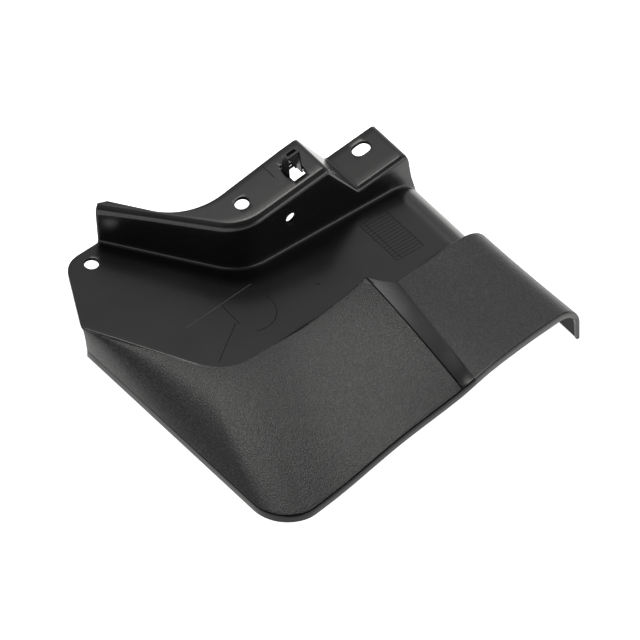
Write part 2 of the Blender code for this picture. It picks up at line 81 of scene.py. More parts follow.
# The grid: the CAD part's columns times FINE, and finer rows
FINE = 4
FOOT_STEPS, BACK_STEPS = (10 * FINE, 5 * FINE, 5 * FINE), (4 * FINE, 8 * FINE, 8 * FINE)
STEP_STEPS, HEM_STEPS = (6 * FINE, 6 * FINE, 8 * FINE), (6 * FINE, 6 * FINE, 8 * FINE)
FACET_STEPS, ROLL_STEPS = 2 * FINE, 4 * FINE
CAP_RUNS = tuple(FINE * steps for steps in (1, 3, 5, 3, 2))
CAP_ARCS = tuple(FINE * steps for steps in (3, 3, 4, 2))
CAP_ROWS, FOLD_ROWS, WALL_ROWS, FOOT_ROWS, PLATE_ROWS, SKIN_ROWS = 6, 8, 5, 4, 20, 27
OUTLINE_STEPS = (4, 6, 10)
STEP_ROW = CAP_ROWS + FOLD_ROWS + WALL_ROWS + FOOT_ROWS + PLATE_ROWS
SKIN_ROW = STEP_ROW + 1
HEM_ROW = SKIN_ROW + SKIN_ROWS
TOTAL_ROWS = HEM_ROW + 2

# Place down the wall at the end of its fold, of its straight part and of its foot
FOLD_TO, WALL_TO, FOOT_TO = 3, 5, 7

# Rounds at the step and the hem: reach before and after the corner, and steps
FRONT_ROUNDS = {STEP_ROW: (1.2, 1.2, 5), SKIN_ROW: (0.9, 0.9, 5), HEM_ROW: (1.5, 1.8, 7)}
BACK_ROUNDS = {STEP_ROW: (1.6, 1.6, 5), SKIN_ROW: (0.5, 0.5, 5), HEM_ROW: (0.6, 0.6, 7)}
MOST_REACH = 0.42           # share of the way to the next row that a round may take
EDGE = 0.35                 # radius of the sheet's rims and of the holes' edges
WINDOW_EDGE, WINDOW_ROUND = 0.15, 0.3   # the same for the clip's window, and its corners
CUTTER_REACH, CUTTER_LIP = 2.0, 0.02    # how far a cutter stands past the sheet's faces
LEAST_LEAN = 0.5            # keeps the sheet's back from running away at a sharp corner
GROOVE_HALF, GROOVE_DEPTH, MOST_GROOVE = 0.6, 0.5, 0.45
SHADE_LINE_ROWS = 3               # rows of painted shade: a dark line between the skin and the hem's rim

# Order of the moulding's materials
# The third material is a duller, darker black painted as shade on the crease's groove, the line
# above the hem's rim and the holes' walls
PLATE, GRAIN, PAINTED_SHADE, UNDERSIDE, FACET = range(5)

# Bevels and smooth shading: segments, and the least angle of an edge in degrees
BEVEL_SEGMENTS, RIM_ANGLE, HOOD_ANGLE = 3, 55, 35
SHEET_SHARP, HOOD_SHARP, TONGUE_SHARP = 38, 30, 50

# Holes and clip window
HOLE, WALL_HOLE = 9.0, 7.0
PLATE_HOLE_AT, SHELF_HOLE_AT = (-132.5, 62.6), (-52.9, 17.6)
WALL_HOLE_AT, SLOT_AT = (-29.0, 24.5), (43.0, 24.0)
SLOT_LENGTH, SLOT_WIDTH = 12.0, 9.0
CLIP_X, CLIP_BACK, CLIP_FRONT_FOOT, CLIP_FOOT_WIDTH = -15.4, 20.6, 12.6, 10.6
WINDOW_FRONT, WINDOW_FRONT_WIDTH, RELIEF, RELIEF_SPACING = 8.4, 9.6, 1.8, 7.6

# Hood of the clip, and its tongue: stations along it with half width and half thickness
CLIP_FRONT_TOP, CLIP_TOP_WIDTH, CLIP_HEIGHT, CLIP_WALL, CLIP_FLANGE = 15.2, 9.2, 13.0, 0.9, 1.4
FLANGE_INSET, CLIP_SLOT, CLIP_EDGE = 0.5, (6.2, 2.2), 0.22
BACK_OPENING, OPENING_Z = 2.6, (-1.8, 8.6)
TONGUE_THICKNESS, TONGUE_ROOT_Z, TONGUE_DROP, TONGUE_LEAN = 1.1, 11.75, 8.2, 2.8
TONGUE_STATIONS = ((0.0, 3.0, 0.4), (0.02, 3.2, 0.53), (0.16, 3.2, 0.55), (0.26, 2.0, 0.55),
                   (0.5, 1.45, 0.5), (0.75, 1.0, 0.45), (0.94, 0.75, 0.42), (0.98, 0.6, 0.34),
                   (1.0, 0.34, 0.2))
TONGUE_SIDES, TONGUE_SQUARE = 16, 0.45      # points of its section, and how square that is

# Marks of the mould: lines on the plate, a ring, a grid, a line on the shelf and the gate
BRIGHT_LINE = ((-120.6, -14.6), (-67.6, -9.6))
WITNESS_LINES = (((-92.0, -12.6), (-93.0, -32.0)), ((-94.6, -30.0), (-122.8, -49.7)))
RING_AT, RING_RADIUS, RING_TURN, RIDGE_SINK = (-82.0, -28.0), 16.0, (-113, 24), 0.05
GRID_X, GRID_Y, GRID_ROWS, GRID_COLUMNS = (14.0, 34.5), (-11.5, -48.0), 14, (14.0, 17.5, 34.5)
SHELF_LINE_X, SHELF_LINE_Y, GATE_AT = -27.0, (19.0, 32.4), (-35.0, -33.9)
WITNESS_SIZE, GRID_SIZE, SHELF_LINE_SIZE = (0.3, 0.15), (0.26, 0.1), (0.3, 0.14)
RIDGE_SHOULDER, SHOULDER_HEIGHT = 0.6, 0.7      # shares of a ridge's half width and height
GATE_PROFILE = ((1.4, -0.1), (1.3, 0.3), (1.0, 0.42), (0.7, 0.3), (0.3, 0.24))

# Camera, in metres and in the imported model's frame
CAMERA_FROM = (-0.425, -0.546, 0.722)
TARGET = (-0.0055, -0.0150, 0.0231)
CAMERA_DISTANCE, LENS = 16.0, 1500.0

# Studio: brightness of the sky by the upward part of the direction, and the share of it
# that is left towards the studio's dark side, which is fixed at the front left above
SKY = ((0.0, 0.35), (0.1, 0.36), (0.25, 0.4), (0.5, 0.34), (0.7, 0.22), (0.79, 0.45),
       (0.85, 0.45), (0.91, 0.25), (1.0, 0.2))
DARK_SIDE, DARK_STOPS = (-0.425, -0.546, 0.722), ((0.62, 1.0), (0.93, 0.25))
SKY_STRENGTH = 2.0
FLOOR_HALF, FLOOR_DROP, FLOOR_GREY, FLOOR_ROUGHNESS = 4.0, 0.0002, 0.93, 0.7
FLOOR_GLOW, GLOW_STRENGTH = (1.0, 0.99, 0.98), 1.0
LIGHT_COLOUR = (1.0, 0.98, 0.955)
# Name, place, point it faces, width and height, watts
LIGHTS = (("top_box", (0.17, 0.50, 1.29), (0, 0, 0), (0.42, 0.26), 3.7),
          ("back_box", (0.82, 0.48, 0.76), (0.05, 0, 0), (0.45, 0.45), 0.55),
          ("left_box", (-1.35, -0.57, 0.42), (0, 0, 0.03), (1.3, 0.36), 3.0),
          ("front_box", (0.66, -1.36, 0.55), (0, 0, 0.03), (1.5, 0.30), 7.0))

# Plastic: index of refraction; scale of the slow gloss and of the fine bump of the smooth
# faces; scale and depth of the etched grain, and its painted glints: light specks in its colour
PLASTIC_IOR = 1.49
GLOSS_SCALE, GLOSS_SWING, FINE_SCALE, FINE_STRENGTH, FINE_DEPTH = 38.0, 0.05, 900.0, 0.05, 0.00003
GRAIN_SCALE, CELL_SCALE, GRAIN_DEPTH = 1000.0, 1200.0, 0.0001
PAINTED_GLINT_START, PAINTED_GLINT_END, PAINTED_GLINT_GAIN = 0.42, 0.66, 3.6


def blend(low, high, share):
    return low + (high - low) * share


def ease(share):
    share = min(1.0, max(0.0, share))
    return share * share * (3.0 - 2.0 * share)


def run(start, end, steps):
    return [blend(start, end, step / steps) for step in range(1, steps + 1)]


def rounded_line(points, radii, straight_steps, arc_steps):
    """Points along a polyline whose inner corners are rounded."""
    corners = [Vector(point) for point in points]
    line = [corners[0]]
    for index, radius in enumerate(radii):
        corner = corners[index + 1]
        into = (corner - corners[index]).normalized()
        out = (corners[index + 2] - corner).normalized()
        turn = math.atan2(into.x * out.y - into.y * out.x, into.dot(out))
        reach = radius * math.tan(abs(turn) / 2)
        side = math.copysign(radius, turn)
        first = corner - into * reach
        centre = first + Vector((-into.y, into.x)) * side
        line += run(line[-1], first, straight_steps[index])
        for step in range(1, arc_steps[index] + 1):
            spin = Matrix.Rotation(turn * step / arc_steps[index], 2)
            line.append(centre + spin @ (first - centre))
    return line + run(line[-1], corners[-1], straight_steps[-1])


def bent_line(start, corner, end, radius, steps):
    return rounded_line([start, corner, end], [radius], [steps[0], steps[2]], [steps[1]])


def curve_height(keys, x):
    """Height at x on a smooth curve through keys, level beyond its ends."""
    if x <= keys[0][0]:
        return keys[0][1]
    for index in range(len(keys) - 1):
        (x1, z1), (x2, z2) = keys[index], keys[index + 1]
        if x <= x2:
            x0, z0 = keys[max(index - 1, 0)]
            x3, z3 = keys[min(index + 2, len(keys) - 1)]
            span = x2 - x1
            slope1 = (z2 - z0) / (x2 - x0) * span
            slope2 = (z3 - z1) / (x3 - x1) * span
            t = (x - x1) / span
            return (z1 * (1 + 2 * t) * (1 - t) ** 2 + slope1 * t * (1 - t) ** 2
                    + z2 * t * t * (3 - 2 * t) - slope2 * t * t * (1 - t))
    return keys[-1][1]


def shelf_height(x):
    return SHELF_HEIGHT + SHELF_SLOPE * x


def rolled(share, start, radius, top):
    """Point and outward normal on a level sheet that rolls down to the ground."""
    arc = math.pi / 2 * radius
    length = share * (arc + top + ROLL_RADIUS - radius)
    angle = min(length, arc) / radius
    fall = max(length - arc, 0.0)
    normal = Vector((math.sin(angle), 0, math.cos(angle)))
    return start + radius * normal.x, top - radius * (1 - normal.z) - fall, normal


def plate_point(along, y):
    if along <= ROLL_START:
        return Vector((along, y, 0))
    share = (along - ROLL_START) / (math.pi / 2 * ROLL_RADIUS)
    x, z, _normal = rolled(share, ROLL_START, ROLL_RADIUS, 0.0)
    return Vector((x, y, z))


def along_plate(x):
    if x <= ROLL_START:
        return x
    return ROLL_START + ROLL_RADIUS * math.asin(min(1.0, (x - ROLL_START) / ROLL_RADIUS))


def left_columns():
    front = (CREASE_END_X, HEM_CORNER[1] + HEM_SLOPE * (CREASE_END_X - HEM_CORNER[0]))
    foot = bent_line(WALL_LEFT, WALL_CORNER, (FACET_START_X, 0.0), WALL_BEND, FOOT_STEPS)
    back = bent_line(SHELF_LEFT, SHELF_CORNER, (FACET_START_X, SHELF_DEPTH), SHELF_BEND,
                     BACK_STEPS)
    step = bent_line(STEP_LEFT, STEP_CORNER, APEX, STEP_BEND, STEP_STEPS)
    hem = bent_line(HEM_LEFT, HEM_CORNER, front, HEM_CORNER_RADIUS, HEM_STEPS)
    return foot, back, step, hem


def cap_profile(start_x):
    corners = [(start_x, shelf_height(start_x)), (0.0, SHELF_HEIGHT), RISER_FOOT, TAB_END,
               SIDE_WAIST, (MERGE_X, plate_point(along_plate(MERGE_X), 0).z)]
    return rounded_line(corners, CAP_RADII, CAP_RUNS, CAP_ARCS)


def wall_rows(foot, foot_z, top_at, normal, radius, lean):
    """Rows over the fold, down the wall and round its foot, at one column."""
    height = top_at(foot.x) - foot_z
    least = radius + FOOT_RADIUS + LEAST_WALL
    full = max(height, least)
    squash = min(1.0, max(0.0, height) / least)
    section = []
    for row in range(FOLD_ROWS + 1):
        angle = math.pi / 2 * row / FOLD_ROWS
        section.append((FOLD_TO * row / FOLD_ROWS,
                        DRAFT * full + radius * (1 - math.sin(angle)),
                        full - radius * (1 - math.cos(angle))))
    for row in range(1, WALL_ROWS):
        share = row / WALL_ROWS
        section.append((blend(FOLD_TO, WALL_TO, share), DRAFT * full * (1 - share),
                        blend(full - radius, FOOT_RADIUS, share)))
    for row in range(FOOT_ROWS + 1):
        angle = math.pi / 2 * row / FOOT_ROWS
        section.append((blend(WALL_TO, FOOT_TO, row / FOOT_ROWS),
                        -FOOT_RADIUS * (1 - math.cos(angle)),
                        FOOT_RADIUS * (1 - math.sin(angle))))
    rows = []
    for place_down, back, up in section:
        spread = blend(radius, -FOOT_RADIUS, place_down / FOOT_TO)
        back = blend(spread, back, squash)
        share = up / full
        flat = foot - normal * back + lean * share
        z = foot_z + up * squash
        if share > 0.5:
            z = top_at(flat.x) - (full - up) * squash
        rows.append(Vector((flat.x, flat.y, z)))
    return rows


def cap_rows(back, front, height_at):
    rows = []
    for row in range(CAP_ROWS):
        flat = blend(Vector(back), front.xy, row / CAP_ROWS)
        rows.append(Vector((flat.x, flat.y, height_at(flat.x))))
    return rows


def plate_rows(start, end, left, weight):
    rows = []
    for row in range(1, PLATE_ROWS + 1):
        share = row / PLATE_ROWS
        pull = left[row] - blend(left[0], left[-1], share)
        flat = blend(start, end, share) + pull * weight
        rows.append(plate_point(flat.x, flat.y))
    return rows


def skin_rows(inner, outer, low, high, shape, rolling):
    rows = []
    normal = Vector((0, 0, 1))
    for row in range(SKIN_ROWS + 1):
        share = row / SKIN_ROWS
        flat = blend(inner, outer, share)
        z = blend(low, high, share ** blend(LEFT_CROWN, CROWN, shape))
        x = flat.x
        if rolling > 0:
            x, z, normal = rolled(rolling, SKIN_ROLL_START, SKIN_ROLL_RADIUS, z)
        rows.append(Vector((x, flat.y, z)))
    rows.append(rows[-1] - normal * blend(RIM, RIM_END, rolling))
    return rows


def skin_length():
    arc = math.pi / 2 * SKIN_ROLL_RADIUS
    return SKIN_ROLL_START + arc + SKIN_PROUD + ROLL_RADIUS - SKIN_ROLL_RADIUS


def skin_along(along):
    plate_length = ROLL_START + math.pi / 2 * ROLL_RADIUS
    extra = skin_length() - plate_length
    return along + extra * ease((along - SIDE_START) / (plate_length - SIDE_START))


def face_points():
    """Grid of points of the flap's front face, column by column."""
    foot, back, step, hem = left_columns()
    left_count = len(foot)
    outline = bent_line(WALL_LEFT, PLATE_CORNER, STEP_LEFT, PLATE_CORNER_RADIUS,
                        OUTLINE_STEPS)
    columns = []
    for index in range(left_count):
        tangent = (foot[min(index + 1, left_count - 1)] - foot[max(index - 1, 0)]).normalized()
        normal = Vector((tangent.y, -tangent.x))
        radius = blend(LEFT_FOLD_RADIUS, FOLD_RADIUS,
                       ease((index - FOOT_STEPS[0]) / FOOT_STEPS[1]))
        rake = -tangent * LEFT_RAKE * max(0.0, 1 - index / (2 * FINE))
        wall = wall_rows(foot[index], 0.0, shelf_height, normal, radius, rake)
        weight = max(0.0, 1.0 - index / (STEP_STEPS[0] + STEP_STEPS[1]))
        plate = plate_rows(wall[-1].xy, step[index], outline, weight)
        inner = step[index] + (hem[index] - step[index]).normalized() * STEP_RUN
        rise = max(0.0, (step[index].x - RISE_START_X) / (APEX[0] - RISE_START_X))
        low = APEX_HEIGHT * rise ** 2 - LEFT_DROP * weight ** 3
        high = curve_height(HEM_HEIGHTS, hem[index].x) + RIM
        shape = ease((index - HEM_STEPS[0]) / HEM_STEPS[1])
        skin = skin_rows(inner, hem[index], low, high, shape, 0.0)
        columns.append(cap_rows(back[index], wall[0], shelf_height) + wall + plate + skin)
    return columns + right_columns(foot[-1].x)


def right_columns(start_x):
    """Columns from the crease to the right edge: facet, riser, tab, side and roll."""
    profile = [Vector((x, shelf_height(x)))
               for x in (blend(start_x, FACET_END_X, step / FACET_STEPS)
                         for step in range(1, FACET_STEPS))]
    profile += cap_profile(FACET_END_X)
    spread_from = FACET_STEPS - 1 + sum(CAP_RUNS[:3]) + sum(CAP_ARCS[:2])
    merge = len(profile) - 1
    shelf_end = FACET_STEPS - 1 + CAP_RUNS[0] + CAP_ARCS[0]
    feet = []
    for index, point in enumerate(profile):
        share = max(0.0, (index - spread_from) / (merge - spread_from))
        feet.append(point.x if share == 0 else
                    blend(profile[spread_from].x, MERGE_X, share))
    merged = along_plate(MERGE_X)
    plate_end = ROLL_START + math.pi / 2 * ROLL_RADIUS
    alongs = [along_plate(x) for x in feet]
    for step in range(1, ROLL_STEPS + 1):
        alongs.append(blend(merged, plate_end, step / ROLL_STEPS))
        profile.append(None)
    result = []
    front_y = HEM_CORNER[1] - HEM_SLOPE * HEM_CORNER[0]
    for index, along in enumerate(alongs):
        foot = plate_point(along, 0.0)
        top = profile[index]
        height = foot.z if top is None else top.y
        top_x = foot.x if top is None else top.x
        lean = Vector((top_x - foot.x, 0))
        radius = blend(FOLD_RADIUS, TAB_FOLD_RADIUS, ease((index - shelf_end) / CAP_RUNS[1]))
        wall = wall_rows(foot.xy, foot.z, lambda _x, z=height: z, Vector((0, -1)),
                         radius, lean)
        cap = cap_rows((top_x, SHELF_DEPTH), wall[0], lambda _x, z=height: z)
        across = min(1.0, (index + 1) / FACET_STEPS)
        if along < FACET_END_X or across < 1:
            step = blend(Vector(APEX), Vector(FACET_FOOT), across)
            low = APEX_HEIGHT * (1 - across) ** FACET_HOLLOW
            end_x = blend(CREASE_END_X, VALLEY_END_X, across)
            rolling, beside = 0.0, step.x
        else:
            share = min(1.0, (along - FACET_END_X) / (ROLL_START - FACET_END_X))
            step_x = blend(FACET_FOOT[0], ROLL_START, share) + max(0.0, along - ROLL_START)
            step = Vector((step_x, blend(FACET_FOOT[1], STEP_RIGHT_Y, share)))
            beside = skin_along(step_x)
            low = SKIN_PROUD * ease((beside - PROUD_START_X)
                                    / (SKIN_ROLL_START - PROUD_START_X))
            flat_share = (beside - FACET_FOOT[0]) / (SKIN_ROLL_START - FACET_FOOT[0])
            end_x = beside - max(0.0, 1 - flat_share) * (FACET_FOOT[0] - VALLEY_END_X)
            rolling = max(0.0, (beside - SKIN_ROLL_START) / (skin_length() - SKIN_ROLL_START))
        plate = plate_rows(Vector((along, wall[-1].y)), step,
                           [Vector((0, 0))] * (PLATE_ROWS + 1), 0.0)
        inner = Vector((beside, step.y - STEP_RUN))
        outer = Vector((end_x, front_y + HEM_SLOPE * min(end_x, ROLLED_END_X)))
        high = curve_height(HEM_HEIGHTS, end_x) + RIM
        skin = skin_rows(inner, outer, low, high, 1.0, rolling)
        result.append(cap + wall + plate + skin)
    return result


def sheet_back(front):
    """Grid behind the front face, one sheet thickness away from the faces round each point."""
    down = np.diff(front, axis=1)
    across = np.diff(front, axis=0)
    one = np.cross(down[:-1], across[:, :-1])
    two = np.cross(down[1:], across[:, 1:])
    faces = one + two
    faces /= np.linalg.norm(faces, axis=2, keepdims=True)
    padded = np.zeros((front.shape[0] + 1, front.shape[1] + 1, 3))
    padded[1:-1, 1:-1] = faces
    around = [padded[:-1, :-1], padded[1:, :-1], padded[:-1, 1:], padded[1:, 1:]]
    normal = sum(around)
    normal /= np.linalg.norm(normal, axis=2, keepdims=True)
    used = sum((np.linalg.norm(side, axis=2) > 0).astype(float) for side in around)
    lean = sum((side * normal).sum(axis=2) for side in around) / used
    return front - normal * (SHEET / np.maximum(lean, LEAST_LEAN))[:, :, None]


def with_groove(front, back):
    """The same grids with a narrow groove in the front face along the crease."""
    crease = sum(STEP_STEPS)
    normal = front[crease] - back[crease]
    normal /= np.linalg.norm(normal, axis=1, keepdims=True)
    sides = []
    for neighbour in (crease - 1, crease + 1):
        away = front[neighbour] - front[crease]
        length = np.linalg.norm(away, axis=1, keepdims=True)
        sides.append(np.minimum(GROOVE_HALF / length, MOST_GROOVE))
    depth = np.zeros(len(normal))
    depth[SKIN_ROW + 1:HEM_ROW] = GROOVE_DEPTH
    grids = []
    for grid, sunk in ((front, depth), (back, 0 * depth)):
        middle = grid[crease]
        left = middle + (grid[crease - 1] - middle) * sides[0]
        right = middle + (grid[crease + 1] - middle) * sides[1]
        bottom = middle - normal * sunk[:, None]
        grids.append(np.concatenate([grid[:crease], [left, bottom, right], grid[crease + 1:]]))
    return grids


def softened(grid, corners):
    """The same columns with extra points that round off some of the rows.

    corners maps a row to the reach of its round before and after it, in millimetres,
    and the number of steps in the round.
    """
    columns = []
    for column in grid:
        points = []
        for row, point in enumerate(column):
            if row not in corners:
                points.append(point)
                continue
            before, after, steps = corners[row]
            back = column[row - 1] - point
            on = column[row + 1] - point
            back_length, on_length = np.linalg.norm(back), np.linalg.norm(on)
            first = point + back * min(before / back_length, MOST_REACH)
            last = point + on * min(after / on_length, MOST_REACH)
            for step in range(steps + 1):
                t = step / steps
                points.append(first * (1 - t) ** 2 + point * 2 * t * (1 - t) + last * t * t)
        columns.append(points)
    return np.array(columns)


def region_rows():
    """Original row of each row of the softened grid."""
    rows = []
    for row in range(TOTAL_ROWS):
        rows += [row] * (1 + FRONT_ROUNDS[row][2] if row in FRONT_ROUNDS else 1)
    return rows


def place(x, y, z, slope=0.0, turned=False):
    """Matrix that puts a cutter's level plane on the shelf's slope or on the wall."""
    matrix = Matrix.Translation(Vector((x, y, z)))
    if turned:
        return matrix @ Matrix.Rotation(math.pi / 2, 4, "X")
    shear = Matrix.Identity(4)
    shear[2][0] = slope
    return matrix @ shear


def circle(radius, steps=40):
    return [(radius * math.cos(math.tau * step / steps), radius * math.sin(math.tau * step / steps))
            for step in range(steps)]


def stadium(length, width, steps=20):
    half, radius = (length - width) / 2, width / 2
    points = []
    for side in (1, -1):
        for step in range(steps + 1):
            angle = math.pi * (step / steps - 0.5) + (0 if side > 0 else math.pi)
            points.append((side * half + radius * math.cos(angle), radius * math.sin(angle)))
    return points


def rounded_outline(corners, radius, steps=4):
    """Closed outline with rounded corners."""
    points = []
    count = len(corners)
    for index, corner in enumerate(corners):
        corner = Vector(corner)
        before = (Vector(corners[index - 1]) - corner).normalized()
        after = (Vector(corners[(index + 1) % count]) - corner).normalized()
        first, last = corner + before * radius, corner + after * radius
        for step in range(steps + 1):
            t = step / steps
            points.append(tuple(first * (1 - t) ** 2 + corner * 2 * t * (1 - t) + last * t * t))
    return points


def grown(outline, growth):
    """Outline moved outwards."""
    points = []
    count = len(outline)
    for index, point in enumerate(outline):
        along = Vector(outline[(index + 1) % count]) - Vector(outline[index - 1])
        out = Vector((along.y, -along.x)).normalized()
        points.append(Vector(point) + out * growth)
    return points


def add_cutter(bm, outline, matrix, edge=EDGE):
    """Cutter that widens at both faces of the sheet, so that the hole's edges are round."""
    levels = [(-SHEET - CUTTER_REACH, edge), (-SHEET - CUTTER_LIP, edge)]
    for step in (2, 1, 0):
        angle = math.pi / 6 * step
        levels.append((-SHEET + edge * (1 - math.sin(angle)), edge * (1 - math.cos(angle))))
    for step in (0, 1, 2):
        angle = math.pi / 6 * step
        levels.append((-edge * (1 - math.sin(angle)), edge * (1 - math.cos(angle))))
    levels += [(CUTTER_LIP, edge), (CUTTER_REACH, edge)]
    rings = []
    for height, growth in levels:
        points = grown(outline, growth)
        rings.append([bm.verts.new((matrix @ Vector((p.x, p.y, height)) + SHIFT) * MM)
                      for p in points])
    for low, high in zip(rings, rings[1:]):
        for index in range(len(low)):
            after = (index + 1) % len(low)
            bm.faces.new((low[index], low[after], high[after], high[index]))
    bm.faces.new(rings[0][::-1])
    bm.faces.new(rings[-1])


def new_object(name, bm):
    mesh = bpy.data.meshes.new(name)
    bm.to_mesh(mesh)
    bm.free()
    obj = bpy.data.objects.new(name, mesh)
    bpy.context.scene.collection.objects.link(obj)
    return obj


def hole_cutters():
    bm = bmesh.new()
    add_cutter(bm, circle(HOLE / 2), place(*PLATE_HOLE_AT, 0.0))
    shelf = shelf_height(SHELF_HOLE_AT[0])
    add_cutter(bm, circle(HOLE / 2), place(*SHELF_HOLE_AT, shelf, SHELF_SLOPE))
    tab_slope = (TAB_END[1] - RISER_FOOT[1]) / (TAB_END[0] - RISER_FOOT[0])
    tab = RISER_FOOT[1] + tab_slope * (SLOT_AT[0] - RISER_FOOT[0])
    add_cutter(bm, stadium(SLOT_LENGTH, SLOT_WIDTH), place(*SLOT_AT, tab, tab_slope))
    wall_y = DRAFT * WALL_HOLE_AT[1]
    add_cutter(bm, circle(WALL_HOLE / 2), place(WALL_HOLE_AT[0], wall_y, WALL_HOLE_AT[1],
                                                turned=True))
    half, front_half = CLIP_FOOT_WIDTH / 2 + GAP, WINDOW_FRONT_WIDTH / 2
    back, front = CLIP_BACK + GAP, CLIP_FRONT_FOOT - GAP
    window = [(-front_half, WINDOW_FRONT), (front_half, WINDOW_FRONT), (front_half, front),
              (half, front), (half, back), (-half, back), (-half, front), (-front_half, front)]
    add_cutter(bm, rounded_outline(window, WINDOW_ROUND, 3),
               place(CLIP_X, 0.0, shelf_height(CLIP_X), SHELF_SLOPE), WINDOW_EDGE)
    for side in (-1, 1):
        x = CLIP_X + side * RELIEF_SPACING / 2
        add_cutter(bm, circle(RELIEF / 2, 20),
                   place(x, CLIP_BACK + GAP + RELIEF, shelf_height(x), SHELF_SLOPE),
                   WINDOW_EDGE)
    return new_object("hole_cutters", bm)


def round_edges(obj, radius, angle):
    bevel = obj.modifiers.new("rounded_edges", "BEVEL")
    bevel.width = radius * MM
    bevel.segments = BEVEL_SEGMENTS
    bevel.limit_method = "ANGLE"
    bevel.angle_limit = math.radians(angle)


def combine(obj, operation, tool):
    change = obj.modifiers.new("shape", "BOOLEAN")
    change.operation = operation
    change.solver = "MANIFOLD"
    change.object = tool


def finished(name, obj, tools, sharp):
    """New object with obj's modifiers applied; obj and its tools are removed."""
    depsgraph = bpy.context.evaluated_depsgraph_get()
    mesh = bpy.data.meshes.new_from_object(obj.evaluated_get(depsgraph))
    for used in (obj, *tools):
        bpy.data.objects.remove(used)
    mesh.shade_smooth()
    mesh.set_sharp_from_angle(angle=math.radians(sharp))
    made = bpy.data.objects.new(name, mesh)
    bpy.context.scene.collection.objects.link(made)
    return made


def front_material(column, row, region):
    """Place in the moulding's materials of a face of its front."""
    crease = sum(STEP_STEPS)
    valley = crease + FACET_STEPS + 2
    hem = region.index(HEM_ROW)
    if row < hem and region[row] >= SKIN_ROW:
        # Painted shade along the crease's groove
        if crease <= column < crease + 2:
            return PAINTED_SHADE
        return FACET if crease <= column < valley else GRAIN
    # Painted shade as a dark line in the first rows of the hem's rim
    if row >= hem and column < valley:
        return PAINTED_SHADE if row < hem + SHADE_LINE_ROWS else FACET
    return PLATE


def build_moulding(materials):
    """Closed sheet from the front and back grids, with rounded rims and holes."""
    front = np.array(face_points(), dtype=float)
    front, back = with_groove(front, sheet_back(front))
    front, back = softened(front, FRONT_ROUNDS), softened(back, BACK_ROUNDS)
    bm = bmesh.new()
    top, under = [[[bm.verts.new((Vector(point) + SHIFT) * MM) for point in column]
                   for column in grid] for grid in (front, back)]
    columns, rows = front.shape[:2]
    region = region_rows()
    for i in range(columns - 1):
        for r in range(rows - 1):
            face = bm.faces.new((top[i][r], top[i][r + 1], top[i + 1][r + 1], top[i + 1][r]))
            face.material_index = front_material(i, r, region)
            face = bm.faces.new((under[i][r], under[i + 1][r], under[i + 1][r + 1],
                                 under[i][r + 1]))
            face.material_index = UNDERSIDE
        bm.faces.new((top[i][0], top[i + 1][0], under[i + 1][0], under[i][0]))
        bm.faces.new((top[i + 1][-1], top[i][-1], under[i][-1], under[i + 1][-1]))
    for r in range(rows - 1):
        bm.faces.new((top[0][r + 1], top[0][r], under[0][r], under[0][r + 1]))
        bm.faces.new((top[-1][r], top[-1][r + 1], under[-1][r + 1], under[-1][r]))
    sheet = new_object("sheet", bm)
    cutter = hole_cutters()
    # The holes' walls take the painted shade material
    for face in cutter.data.polygons:
        face.material_index = PAINTED_SHADE
    for obj in (sheet, cutter):
        for material in materials:
            obj.data.materials.append(material)
    round_edges(sheet, EDGE, RIM_ANGLE)
    combine(sheet, "DIFFERENCE", cutter)
    return finished("moulded_flap", sheet, [cutter], SHEET_SHARP)


def add_ridge(bm, points, size):
    """Low rounded ridge along a line of points, its base just under the surface."""
    half, height = size
    shoulder, up = RIDGE_SHOULDER * half, SHOULDER_HEIGHT * height
    profile = ((-half, -RIDGE_SINK), (-shoulder, up), (0.0, height), (shoulder, up),
               (half, -RIDGE_SINK))
    rings = []
    for index, point in enumerate(points):
        along = points[min(index + 1, len(points) - 1)] - points[max(index - 1, 0)]
        side = Vector((-along.y, along.x, 0)).normalized()
        rings.append([bm.verts.new((point + side * across + Vector((0, 0, up)) + SHIFT) * MM)
                      for across, up in profile])
    for one, two in zip(rings, rings[1:]):
        for k in range(len(profile)):
            after = (k + 1) % len(profile)
            bm.faces.new((one[k], two[k], two[after], one[after]))
    bm.faces.new(rings[0])
    bm.faces.new(rings[-1][::-1])


def add_nub(bm, x, y, profile, steps=24):
    """Round gate mark from a profile of radii and heights, closed above and below."""
    rings = [[bm.verts.new((Vector((x + px, y + py, up)) + SHIFT) * MM)
              for px, py in circle(radius, steps)] for radius, up in profile]
    for low, high in zip(rings, rings[1:]):
        for k in range(steps):
            after = (k + 1) % steps
            bm.faces.new((low[k], low[after], high[after], high[k]))
    bm.faces.new(rings[0][::-1])
    bm.faces.new(rings[-1])


def wedge(name, low, high, bottom, top):
    """Block between two rectangles (x0, x1, y0, y1) at heights above the shelf."""
    bm = bmesh.new()
    rings = []
    for (x0, x1, y0, y1), up in ((low, bottom), (high, top)):
        rings.append([bm.verts.new((Vector((x, y, shelf_height(x) + up)) + SHIFT) * MM)
                      for x, y in ((x0, y0), (x1, y0), (x1, y1), (x0, y1))])
    for k in range(4):
        after = (k + 1) % 4
        bm.faces.new((rings[0][k], rings[0][after], rings[1][after], rings[1][k]))
    bm.faces.new(rings[0][::-1])
    bm.faces.new(rings[1])
    return new_object(name, bm)


